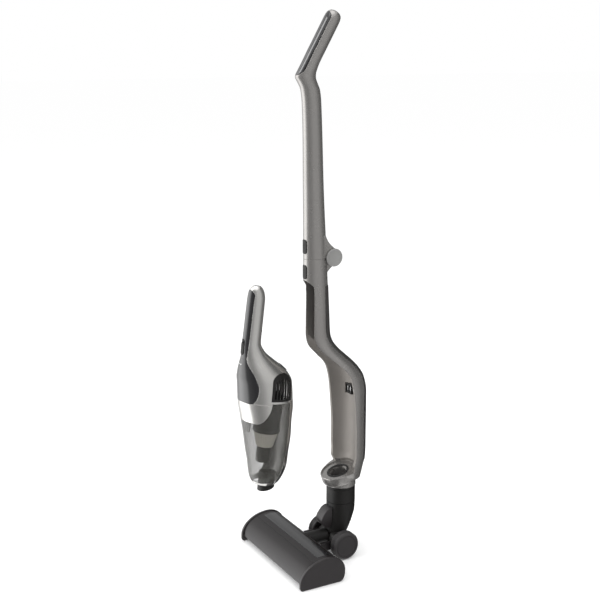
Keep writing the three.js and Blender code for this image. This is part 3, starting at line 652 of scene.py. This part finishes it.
# Zone of the dark rear cover skin, partly real and partly painted shade: a real dark cover piece at the lower
# rear, and the skin runs on up to z 575 as a dark sheet where the rear of the tube is only in shade.
def cover_and_shade_zone(play):
    slope = bezier((99 + play, 370), (99 + play, 392), (84 + play, 404), (62 + play, 425), 14)
    slope += bezier((62 + play, 425), (40 + play, 446), (21 + play, 462), (21 + play, 492), 14)
    outline = [(99 + play, 203 + play), (99 + play, 370)] + slope
    outline += [(21 + play, 575 - play), (60, 575 - play), (140, 430), (140, 203 + play)]
    return prism(outline, "x", -60, 60)


def socket_bar(radius, low, high, y=0.0):
    return moved(bar("z", radius, low, high, (0, y)), SOCKET)


def make_lower_half():
    edge = [(row[1], row[0]) for row in smooth_rows([(z, y) for y, z in CRADLE_EDGE], 4)]
    front = prism([(-90, 196)] + edge + [(-90, 474)], "x", -70, 70)
    over_tray = moved(block((-60, 60), (-140, 14), (TRAY_RIM, 80)), SOCKET)
    tray = moved(
        lathe(
            [
                (0, -11),
                (32, -11),
                (35.6, -10),
                (38, -8),
                (39, -5),
                (39, TRAY_RIM - 1),
                (38, TRAY_RIM),
                (0, TRAY_RIM),
            ],
            128,
        ),
        SOCKET,
    )
    hollow = socket_bar(36, TRAY_FLOOR, TRAY_FLOOR + 60)
    body = cut(loft(FRAME, 0, 128), front, over_tray)
    body = join(body, tray, bar("z", 31, 146, 172, (0, SWIVEL_Y), 96))
    body = join(body, join(knuckle(KNUCKLE_R, -KNUCKLE_IN, KNUCKLE_IN), fairing(-1, KNUCKLE_IN - 0.4)))
    docked = shifted(loft(HANDSET, 2.6, 96, 6), 0, 62, 176.5)
    body = cut(
        body,
        loft(CRADLE, 0, 128),
        docked,
        block((-GROOVE_HALF, GROOVE_HALF), (-60, GROOVE_FLOOR), (440, GROOVE_TOP - GROOVE_HALF)),
        bar("y", GROOVE_HALF - 0.01, -60, GROOVE_FLOOR, (0, GROOVE_TOP - GROOVE_HALF)),
        hollow,
        socket_bar(20.5, TRAY_FLOOR - 4, TRAY_FLOOR + 40, SEAT.y),
        bar("z", 18, 130, TRAY_FLOOR + 168, (0, SWIVEL_Y - 4)),
        knuckle(KNUCKLE_R + 0.5, KNUCKLE_IN + 0.15, KNUCKLE_OUT + 1),
        knuckle(KNUCKLE_R + 0.5, -KNUCKLE_OUT - 1, -KNUCKLE_IN - 0.15),
        block((-40, 40), (-60, 23), (FOLD_Z - 0.4, 700)),
        block((-40, -KNUCKLE_IN - 0.15), (20, 34), (FOLD_Z - 0.4, 700)),
        block((KNUCKLE_IN + 0.15, 40), (20, 34), (FOLD_Z - 0.4, 700)),
        knuckle(4 + GAP, -20, 20),
        keep(skin_of(FRAME, 2.4, 4, sides=128), cover_and_shade_zone(0)),
        button_prism(604.6, 0),
        block((-27, -5), (88, 103), (333, 355)),
    )
    body = finish(body, "stick_lower_shell", "stick_frame", "titanium", stands_for="lower_frame")
    # painted shade: the cradle's inside and the handle groove get the darker grey materials
    paint_inside_shade(body)
    # dark rear cover skin: partly the real cover, partly a dark sheet standing in for shade on the rear of
    # the tube
    cover = keep(skin_of(FRAME, 2.1, 0.9, sides=128), cover_and_shade_zone(GAP))
    finish(cover, "rear_cover_and_shade_skin", "stick_frame", "cover_dark", stands_for="rear_cover")

    connector = rounded(block((-26.7, -5.3), (96.2, 102.7), (333.3, 354.7)), 0.9, 3)
    connector = cut(connector, *[block((x, x + 6.4), (94, 99), (337, 351)) for x in (-24.2, -14.2)])
    finish(connector, "connector_block", "stick_frame", "matt_black", stands_for="power_connector")
    contacts = [rounded(block((x + 1.8, x + 4.6), (97.4, 99.4), (339, 349)), 0.4, 2) for x in (-24.2, -14.2)]
    finish(merged(contacts), "connector_contacts", "stick_frame", "steel")

    seal = lathe(
        [
            (19.3, TRAY_FLOOR + 0.3),
            (23.3, TRAY_FLOOR + 0.3),
            (23.4, TRAY_FLOOR + 0.8),
            (22.9, TRAY_FLOOR + 1.2),
            (21.4, TRAY_FLOOR + 0.9),
            (19.9, TRAY_FLOOR + 1.2),
            (19.2, TRAY_FLOOR + 0.8),
        ],
        96,
    )
    seal = moved(shifted(seal, 0, SEAT.y, 0), SOCKET)
    finish(seal, "socket_lip_seal", "stick_frame", "rubber", stands_for="socket_seal")

    collar = lathe(
        [
            (20, SWIVEL_Z + 0.3),
            (29.4, SWIVEL_Z + 0.3),
            (30, SWIVEL_Z + 0.9),
            (30, 139.4),
            (29.3, 139.8),
            (29.3, 140.8),
            (30, 141.2),
            (30, 145.1),
            (29.4, 145.7),
            (20, 145.7),
        ],
        96,
    )
    collar = shifted(collar, 0, SWIVEL_Y, 0)
    finish(collar, "swivel_ring", "stick_frame", "matt_black", stands_for="swivel_collar")


def paint_inside_shade(body):
    """Paints shade into the cradle: the faces inside it get a darker grey than the outside as painted shade,
    and the handle groove gets a darker painted shade still.
    """
    body.data.materials.append(M["cradle"])
    body.data.materials.append(M["groove"])
    for face in body.data.polygons:
        centre = face.center
        x, y, z = centre[0] / MM, centre[1] / MM - SHIFT, centre[2] / MM
        if not 164 < z < GROOVE_TOP + 1:
            continue
        low = max((r for r in FRAME if r[0] <= z), key=lambda r: r[0])
        high = min((r for r in FRAME if r[0] > z), key=lambda r: r[0])
        t = (z - low[0]) / (high[0] - low[0])
        cy, hw, hd = (low[i] + (high[i] - low[i]) * t for i in (1, 2, 3))
        reach = math.hypot(x / hw, (y - cy) / hd)
        if reach < 0.965 and z > 186:
            in_groove = z > 440 and abs(x) < GROOVE_HALF + 0.3 and y < GROOVE_FLOOR + 0.5
            face.material_index = 2 if in_groove else 1


# ---------------------------------------------------------------- neck


def make_neck():
    outside = [
        (34, 55, 21, 20, 0),
        (46, 58.5, 24.6, 23.4, 0),
        (60, 62.6, 27, 25.6, 0),
        (76, 66.6, 28.8, 27.6, 0),
        (92, 69.4, 30, 29.4, 0),
        (110, 70, 30, 30, 0),
    ]
    inside = [(30, 54, 12, 12, 0), (46, 58.5, 15.6, 14.4, 0), (76, 66.6, 19.8, 18.6, 0), (115, 70, 21, 21, 0)]
    at = (AXLE_Y, AXLE_Z)
    barrel = rounded(bar("x", 20, -30, 30, at), 1.6, 3)
    elbow = cut(
        join(loft(outside, 0, 96, 3), barrel),
        loft(inside, 0, 64, 6),
        bar("y", 12, 20, AXLE_Y, (0, AXLE_Z + 7)),
        bar("x", 4.8, -42, -21.5, at, 32),
        bar("x", 4.8, 21.5, 42, at, 32),
    )
    finish(elbow, "neck_elbow_duct", "neck", "matt_black", stands_for="neck_elbow")
    wedge = [(38, 101), (31, 97.4), (26, 92), (20.6, 85), (17.6, 78), (17.4, 72)]
    wedge += [(20, 66), (26, 61), (33, 58), (45, 60), (45, 101)]
    stop = rounded(prism(wedge, "x", -13, 13), 1.4, 3)
    clearance = [(z, y, w + 0.3, d + 0.3, 0) for z, y, w, d, _ in outside]
    clearance[0] = (30, 52, 24, 24, 0)
    clearance[-1] = (115, 70, 30.3, 30.3, 0)
    stop = cut(stop, loft(clearance, 0.1, 96, 3))
    finish(stop, "upright_wedge", "neck", "charcoal", stands_for="upright_stop")


# ---------------------------------------------------------------- floor head


def head_outline(inset, bottom):
    return (
        [(-90, bottom), (-95 + inset, 13)]
        + arc(-36, 13, 59 - inset, 180, 90, 36, 43 - inset)[1:]
        + arc(-36, 22, 38 - inset, 90, 0, 28, 34 - inset)[1:]
        + [(2 - inset, bottom)]
    )


def plate_outline():
    return (
        [(-93, 0)]
        + bezier((-93, 0), (-97, 0.3), (-99, 3), (-99, 8), 8)
        + [(-99, 12)]
        + arc(-36, 12, 63, 180, 90, 36, 45.6)[1:]
        + arc(-36, 24, 39, 90, 0, 28, 33.6)[1:]
        + bezier((3, 24), (3, 8), (-1, 1.5), (-9, 0), 12)
    )


def head_skin(rise, depth):
    return cut(prism(head_outline(-rise, 6), "x", -126, 126), prism(head_outline(depth, 6), "x", -127, 127))


def make_head():
    chamber = join(
        bar("x", 24.2, -122, 122, (BRUSH_Y, BRUSH_Z), 96),
        block((-122, 122), (BRUSH_Y - 23, BRUSH_Y + 23), (-5, BRUSH_Z)),
    )
    arms = []
    for low, high in ((31, 36.2), (-36.2, -31)):
        arm = join(
            block((low, high), (-1, AXLE_Y), (AXLE_Z - 9, AXLE_Z + 9)),
            bar("x", 12, low - 0.001, high + 0.001, (AXLE_Y, AXLE_Z)),
        )
        arms.append(arm)
    shell = cut(
        join(prism(head_outline(0, 6), "x", -126, 126), *arms),
        chamber,
        block((21, 122), (-33.5, -1.6), (-5, 41)),
        block((-122, -21), (-33.5, -1.6), (-5, 41)),
        bar("y", 12, -50, 6, (0, AXLE_Z + 7)),
        bar("x", 4.8, -40, 40, (AXLE_Y, AXLE_Z), 32),
        bar("x", 3.8, -130, 130, (BRUSH_Y, BRUSH_Z), 32),
        block((109, 121), (-60, -20), (5.4, 46)),
        keep(head_skin(3, 1.6), block((-116, 116), (-52, -24), (30, 70))),
        keep(head_skin(3, 1.6), block((-125.9, 125.9), (-15, 10), (24, 70))),
        *[
            keep(head_skin(3, 0.7), block((-125.9, 125.9), (y - 0.45, y + 0.45), (20, 70)))
            for y in (-64.0,)
        ],
    )
    finish(shell, "head_cover", "floor_head", "satin_head", stands_for="head_shell")
    window = keep(head_skin(0.2, 1.3), block((-115.7, 115.7), (-51.7, -24.3), (30, 70)))
    finish(window, "head_window_strip", "floor_head", "gloss_black", stands_for="head_window")
    band = keep(head_skin(0.2, 1.3), block((-125.7, 125.7), (-14.7, 10), (24.3, 70)))
    cut(band, block((-40, 40), (-3, 12), (20, 42)))
    finish(band, "head_rear_band", "floor_head", "charcoal", stands_for="rear_band")
    for side, sign in (("right", 1), ("left", -1)):
        low, high = sorted((sign * 126.3, sign * 132.3))
        plate = rounded(prism(plate_outline(), "x", low, high), 1.6, 4)
        if sign > 0:
            cut(plate, bar("x", 4, low - 1, high - 3, (BRUSH_Y, BRUSH_Z), 32))
        finish(plate, f"head_end_{side}", "floor_head", "charcoal", stands_for=f"end_plate_{side}")
    duct = cut(
        bar("y", 15.5, -30, 33, (0, AXLE_Z + 7), 72),
        prism(head_outline(-0.5, -40), "x", -20, 20),
        bar("y", 12, -40, 60, (0, AXLE_Z + 7), 64),
        bar("x", 20.6, -40, 40, (AXLE_Y, AXLE_Z), 96),
    )
    finish(duct, "head_duct_ring", "floor_head", "matt_black", stands_for="head_duct")
    sole = rounded(block((-125.5, 125.5), (-37, 1), (2.4, 5.6)), 0.8, 2)
    sole = cut(
        sole,
        block((-7, 7), (-20, -12), (0, 10)),
        *[block((-118, 118), (y, y + 1.2), (1, 3.2)) for y in (-33, -28, -6, -1.5)],
    )
    finish(sole, "head_sole", "floor_head", "matt_black", stands_for="sole_plate")
    screws = []
    for x in (-100, -50, 50, 100):
        screws.append(moved(screw(3), aimed((x, -16, 2.7), (0, 0, -1))))
    finish(merged(screws), "sole_screws", "floor_head", "steel")


def make_brush():
    core = merged([
        rounded(bar("x", 12, -108, 108, (BRUSH_Y, BRUSH_Z), 64), 1.2, 2),
        bar("x", 3.5, -125, 128.5, (BRUSH_Y, BRUSH_Z), 32),
    ])
    finish(core, "brush_roller", "brush", "matt_black", stands_for="brush_core")
    rng = random.Random(7)
    for i in range(3):
        verts, faces = [], []
        for x in np.arange(-105, 105.1, 2.0):
            for row in (-1.4, 1.4):
                lean, swing = rng.uniform(-0.5, 0.5), rng.uniform(-0.4, 0.4)
                base = len(verts)
                for height, radius in ((12.2, 0.9), (18.0, 0.75), (21.8, 0.5)):
                    share = (height - 12) / 10
                    for k in range(6):
                        turn = math.pi * k / 3
                        across = x + lean * share + radius * math.cos(turn)
                        along = row + swing * share + radius * math.sin(turn)
                        verts.append((across, along, height))
                for r in range(2):
                    for k in range(6):
                        n = (k + 1) % 6
                        low, high = base + r * 6, base + r * 6 + 6
                        faces.append((low + k, low + n, high + n, high + k))
                faces.append(tuple(base + 5 - k for k in range(6)))
                faces.append(tuple(base + 12 + k for k in range(6)))
        strip = mesh_object("strip", verts, faces)
        turn = Matrix.Rotation(math.radians(40 + 120 * i), 4, "X")
        moved(strip, Matrix.Translation((0, BRUSH_Y, BRUSH_Z)) @ turn)
        finish(strip, f"bristle_row_{i + 1}", "brush", "bristle", stands_for=f"bristle_strip_{i + 1}")


def make_wheels():
    width = 20.5
    tread = []
    for k in range(9):
        h = 3.6 + k * 1.35
        tread += [(29.4, h), (28.9, h + 0.35), (28.9, h + 0.75), (29.4, h + 1.1)]
    tyre = [(23.3, 1), (26.4, 0), (28.2, 0.7), (29.4, 2.6)] + tread
    tyre += [(29.2, width - 4.6), (27.9, width - 2.2), (25.8, width - 0.8), (23.3, width - 0.8)]
    disc = [
        (0, 1.6),
        (22.2, 1.6),
        (23, 2.4),
        (23, width - 1.9),
        (22.4, width - 1.1),
        (20.4, width - 0.75),
        (15, width - 0.35),
        (8, width - 0.08),
        (0, width),
    ]
    for side, sign in (("right", 1), ("left", -1)):
        turn = Matrix.Rotation(math.radians(sign * 90), 4, "Y")
        place = Matrix.Translation((sign * 37, AXLE_Y, AXLE_Z)) @ turn
        body = f"wheel_{side}"
        ring = moved(lathe(tyre, 96), place)
        finish(ring, f"wheel_tyre_{side}", body, "tyre", stands_for=f"tyre_{side}", sharp=40)
        made = cut(lathe(disc, 96), bar("z", 4.8, 0, width - 6, (0, 0), 32))
        finish(moved(made, place), f"wheel_hub_{side}", body, "charcoal", stands_for=body, sharp=40)


# ---------------------------------------------------------------- hand unit


def body_zone(play):
    front, rear = CUP_FRONT + play, CUP_REAR + play
    chin = bezier((-56, front), (-47, front), (-43, CUP_FRONT + 10 + play), (-37, CUP_FRONT + 22 + play), 12)
    chin += bezier(
        (-37, CUP_FRONT + 22 + play), (-34, CUP_FRONT + 29 + play), (-33, CUP_REAR - 4 + play), (-33, rear), 8
    )
    outline = [(-110, front), (-56, front)] + chin + [(60, rear), (60, 430), (-110, 430)]
    return prism(outline, "x", -70, 70)


def grille_zone(play):
    front, back, top = -36 + play, 14 - play, 228
    outline = [(front, CUP_REAR + 4 + play), (back, CUP_REAR + 4 + play)]
    outline += arc((front + back) / 2, top - play, (back - front) / 2, 0, 180, 28, 17)
    return prism(outline, "x", -70, 70)


def panel_prism(play):
    low = 182 + play
    right = [(26, low)]
    right += bezier((26, low), (36 - play, low), (39 - play, low + 12), (39.6 - play, low + 30))
    right += bezier((39.6 - play, low + 30), (39.6 - play, 240), (20, 250), (13 - play, 267.4 - play))
    left = [(-x, h) for x, h in reversed(right)]
    return prism(right + left, "y", -110, -38)


def strip_prism(play):
    half, low = 12.4 - play, 267.1 + play
    return prism([(-half, low), (half, low)] + arc(0, 390, half, 0, 180, 24), "y", -110, -68.5)


def release_block(play):
    return block((-14 + play, 14 - play), (-14, 60), (246 + play, 257 - play))


def middle():
    return block((-24, 24), (-130, 80), (100, 440))


def make_handset():
    slot_cut = prism(rounded_rectangle(0, 290, 12, 32, 5.5), "y", -110, -60)
    seam = keep(skin_of(HANDSET, 0.7, 2), block((-80, 80), (-120, -33.5), (183.6, 184.4)))
    whole = cut(
        keep(loft(HANDSET), body_zone(0)),
        keep(loft(HANDSET, -2.6), body_zone(-20)),
        keep(skin_of(HANDSET, 1.6, 3), panel_prism(0)),
        keep(skin_of(HANDSET, 1.6, 3), strip_prism(0)),
        copy(slot_cut),
        release_block(0),
        cut(grille_zone(0), middle()),
        bar("y", 4.6, -60, -20, (0, 322), 40),
        seam,
    )
    for side, low, high in (("right", 0.1, 80), ("left", -80, -0.1)):
        half = keep(copy(whole), block((low, high), (-130, 80), (100, 440)))
        finish(half, f"hand_shell_{side}", "handset", "silver", stands_for=f"handset_shell_{side}", hand=True)
    bpy.data.objects.remove(whole)

    panel = keep(skin_of(HANDSET, 1.3, 0.3), panel_prism(GAP))
    finish(panel, "hand_panel", "handset", "gloss_black", stands_for="front_panel", hand=True)
    strip = cut(keep(skin_of(HANDSET, 1.3, 0.3), strip_prism(GAP)), slot_cut)
    finish(strip, "hand_grip_strip", "handset", "gloss_black", stands_for="grip_strip", hand=True)
    slider = keep(skin_of(HANDSET, 4.2, 1.4), prism(rounded_rectangle(0, 286.5, 11.1, 24, 5), "y", -110, -60))
    for k in (-3, -2, -1, 0, 1, 2, 3):
        level = 286.5 + k * 2.6
        slider = cut(slider, block((-4, 4), (-110, -87.6 + 0.35 * abs(k)), (level - 0.5, level + 0.5)))
    finish(slider, "switch_slider", "power_switch", "matt_black", stands_for="power_switch", hand=True)
    release = cut(keep(loft(HANDSET, 2), release_block(0.45)), loft(HANDSET, -3))
    finish(release, "cup_release_tab", "cup_release", "charcoal", stands_for="cup_release", hand=True)
    inlet = rounded(bar("y", 4.2, -57.2, -49.4, (0, 322), 48), 0.5, 2)
    inlet = cut(inlet, bar("y", 2.6, -55.4, -40, (0, 322), 32))
    finish(inlet, "charge_socket", "handset", "matt_black", stands_for="charge_inlet", hand=True)

    grille = cut(keep(skin_of(HANDSET, 2.6, 0), grille_zone(GAP)), middle())
    for i in range(6):
        y = -11 + (i - 2.5) * 6.8
        high = 236 - abs(i - 2.5) * 2.6
        slot = rounded_rectangle(y, (195 + high) / 2, 3.6, high - 195, 1.7)
        grille = cut(grille, prism(slot, "x", -70, 70))
    for side, low, high in (("right", 0, 80), ("left", -80, 0)):
        half = keep(copy(grille), block((low, high), (-130, 80), (100, 440)))
        name, node = f"hand_grille_{side}", f"vent_grille_{side}"
        finish(half, name, "handset", "matt_black", stands_for=node, hand=True)
    bpy.data.objects.remove(grille)
    lights = [
        keep(skin_of(HANDSET, 1.0, 0.45, sides=64), bar("y", 1.3, -110, -60, (x, 256), 24))
        for x in (-3.4, 3.4)
    ]
    finish(merged(lights), "indicator_lights", "handset", "gloss_black", "white_led", hand=True)


def rim_zone(play):
    window = [(-120, 400), (-120, 16 - play), (-30, 16 - play), (-8, 19 - play)]
    window += bezier((-8, 19 - play), (play, 20), (6 + play, 30), (9 + play, 40), 10)
    window += bezier((9 + play, 40), (13 + play, 56), (15 + play, 80), (15 + play, 100), 10)
    window += [(14 + play, 140), (11 + play, 187), (11 + play, 400)]
    return cut(block((-70, 70), (-110, 80), (4, 300)), prism(window, "x", -72, 72))


def cup_zone(play):
    return cut(block((-70, 70), (-109, 80), (0, 300)), body_zone(-play))


def make_dust_cup():
    mouth = Matrix.Rotation(SOCKET_TILT, 4, "X")
    cup = cut(
        keep(loft(HANDSET), cup_zone(GAP)),
        loft(HANDSET, -2.4),
        keep(skin_of(HANDSET, 1.2, 3), rim_zone(0)),
        bar("z", 17.3, -10, 30),
    )
    finish(cup, "cup_clear", "dust_cup", "smoke", stands_for="dust_cup", hand=True)
    rim = cut(keep(skin_of(HANDSET, 0.9, 0.4), cup_zone(GAP), rim_zone(GAP)), bar("z", 17.3, -10, 30))
    finish(rim, "cup_bright_rim", "dust_cup", "bright_rim", stands_for="cup_rim", hand=True)
    tube = [(13.5, -20), (17, -20), (17, 5.4), (16.4, 6), (16.4, 7.4)]
    tube += [(17, 8), (17, 33), (16, 34), (13.5, 34)]
    nozzle = cut(
        lathe(tube, 72),
        moved(block((-60, 60), (-60, 60), (-80, 0)), mouth),
    )
    finish(nozzle, "cup_nozzle", "dust_cup", "matt_black", stands_for="nozzle", hand=True)
    wall = [(0, 118), (26.2, 118), (27, 119), (27, 124), (26.3, 125), (26.3, 160)]
    wall += [(27, 161), (27, 170), (0, 170)]
    holder = shifted(cut(lathe(wall, 96), bar("z", 24, 121, 180)), 0, -14, 0)
    finish(holder, "filter_holder", "dust_cup", "matt_black", stands_for="filter_frame", hand=True)
    verts, faces, sides = [], [], 144
    for radius, height in ((16.6, 88), (17, 89), (24.6, 116.6), (25, 117.7)):
        for k in range(sides):
            turn = 2 * math.pi * k / sides
            r = radius - (0.9 if k % 4 in (0, 1) else 0)
            verts.append((r * math.cos(turn), r * math.sin(turn) - 14, height))
    faces = skin_faces(4, sides) + [tuple(reversed(range(sides))), tuple(range(3 * sides, 4 * sides))]
    cone = mesh_object("cone", verts, faces)
    finish(cone, "filter_pleats", "dust_cup", "filter_light", stands_for="filter_cone", hand=True)
    ribs = [(15 - (0.8 if k % 2 else 0), 60 + k * 1.6) for k in range(16)]
    core = [(0, 56), (13.6, 56), (15, 57.4)] + ribs + [(15, 86.6), (14.4, 87.7), (0, 87.7)]
    core = shifted(lathe(core, 64), 0, -14, 0)
    finish(core, "filter_tube", "dust_cup", "matt_black", stands_for="filter_core", hand=True)
    latch = rounded(block((-8, 8), (-58.4, -53), (119, 141)), 0.8, 2)
    finish(latch, "cup_front_latch", "dust_cup", "matt_black", hand=True)


make_upper_half()
make_lower_half()
make_neck()
make_head()
make_brush()
make_wheels()
make_handset()
make_dust_cup()

# CAD nodes that stay get procedural materials.
slot_of = {row["node"]: row["material_slot"] for row in frame["record"]["subparts"]}
for name, node in frame["nodes"].items():
    material = M[slot_of[name]]
    if not node.material_slots:
        node.data.materials.append(material)
    for holder in node.material_slots:
        holder.link = "OBJECT"
        holder.material = material
    if slot_of[name] in ("steel", "rubber", "charcoal", "cell", "board"):
        soft = node.modifiers.new("soft edges", "BEVEL")
        soft.width, soft.segments = 0.25 * MM, 2
        soft.limit_method, soft.angle_limit = "ANGLE", math.radians(40)

# ---------------------------------------------------------------- stage


def flat_material(name, color, strength=0.0):
    made = bpy.data.materials.new(name)
    made.use_nodes = True
    shader = made.node_tree.nodes["Principled BSDF"]
    shader.inputs["Base Color"].default_value = (*color, 1)
    shader.inputs["Roughness"].default_value = 0.9
    shader.inputs["Specular IOR Level"].default_value = 0.0
    if strength:
        shader.inputs["Emission Color"].default_value = (*color, 1)
        shader.inputs["Emission Strength"].default_value = strength
    return made


floor = mesh_object("floor", [(-30, -30, 0), (30, -30, 0), (30, 30, 0), (-30, 30, 0)], [(0, 1, 2, 3)])
floor.location.z = -0.0005
floor.data.materials.append(flat_material("floor_pale", (0.92, 0.92, 0.92), 0.08))
floor.visible_glossy = False

world = bpy.data.worlds.new("world")
world.use_nodes = True
world.node_tree.nodes["Background"].inputs["Color"].default_value = (1, 1, 1, 1)
world.node_tree.nodes["Background"].inputs["Strength"].default_value = 1.0
bpy.context.scene.world = world

# A ring of cards that only gloss sees: angle from the camera's side, and brightness.
RING = [
    (-180, 0.5), (-130, 1.0), (-110, 2.6), (-90, 3.2), (-65, 2.4), (-52, 0.5), (-25, 0.18), (-10, 0.16),
    (10, 0.3), (25, 0.5), (60, 0.55), (85, 0.3), (100, 0.06), (140, 0.02), (165, 0.05), (180, 0.5),
]
for (a0, b0), (a1, b1) in zip(RING, RING[1:]):
    steps = 4
    for s in range(steps):
        f0, f1 = s / steps, (s + 1) / steps
        angles = [a0 + (a1 - a0) * f for f in (f0, f1)]
        glow = b0 + (b1 - b0) * (f0 + f1) / 2
        ends = []
        for angle in angles:
            turn = VIEW + math.radians(angle)
            ends.append((2.0 * math.sin(turn), -2.0 * math.cos(turn)))
        verts = [(*ends[0], -2), (*ends[1], -2), (*ends[1], 2.6), (*ends[0], 2.6)]
        card = mesh_object(f"card_{round(a0)}_{s}", verts, [(0, 1, 2, 3)])
        material = bpy.data.materials.new("card")
        material.use_nodes = True
        material.node_tree.nodes.clear()
        glow_node = material.node_tree.nodes.new("ShaderNodeEmission")
        glow_node.inputs["Strength"].default_value = glow
        output = material.node_tree.nodes.new("ShaderNodeOutputMaterial")
        material.node_tree.links.new(glow_node.outputs["Emission"], output.inputs["Surface"])
        card.data.materials.append(material)
        card.visible_camera = False
        card.visible_diffuse = False
        card.visible_shadow = False
        card.visible_transmission = False
        card.visible_volume_scatter = False


def area_light(name, azimuth, distance, height, size, power):
    data = bpy.data.lights.new(name, "AREA")
    data.shape = "RECTANGLE"
    data.size, data.size_y = size
    data.energy = power
    lamp = bpy.data.objects.new(name, data)
    turn = VIEW + math.radians(azimuth)
    lamp.location = (distance * math.sin(turn), -distance * math.cos(turn), height)
    target = Vector((0, 0, 0.5))
    lamp.rotation_euler = (target - lamp.location).to_track_quat("-Z", "Y").to_euler()
    bpy.context.scene.collection.objects.link(lamp)
    return lamp


area_light("key", -70, 2.6, 2.2, (1.2, 2.4), 45)
area_light("fill", 40, 3.0, 2.4, (2.0, 2.0), 18)
area_light("top", 0, 0.3, 3.2, (2.4, 2.4), 25)

bpy.context.scene.view_settings.view_transform = "Standard"
bpy.context.scene.view_settings.look = "None"
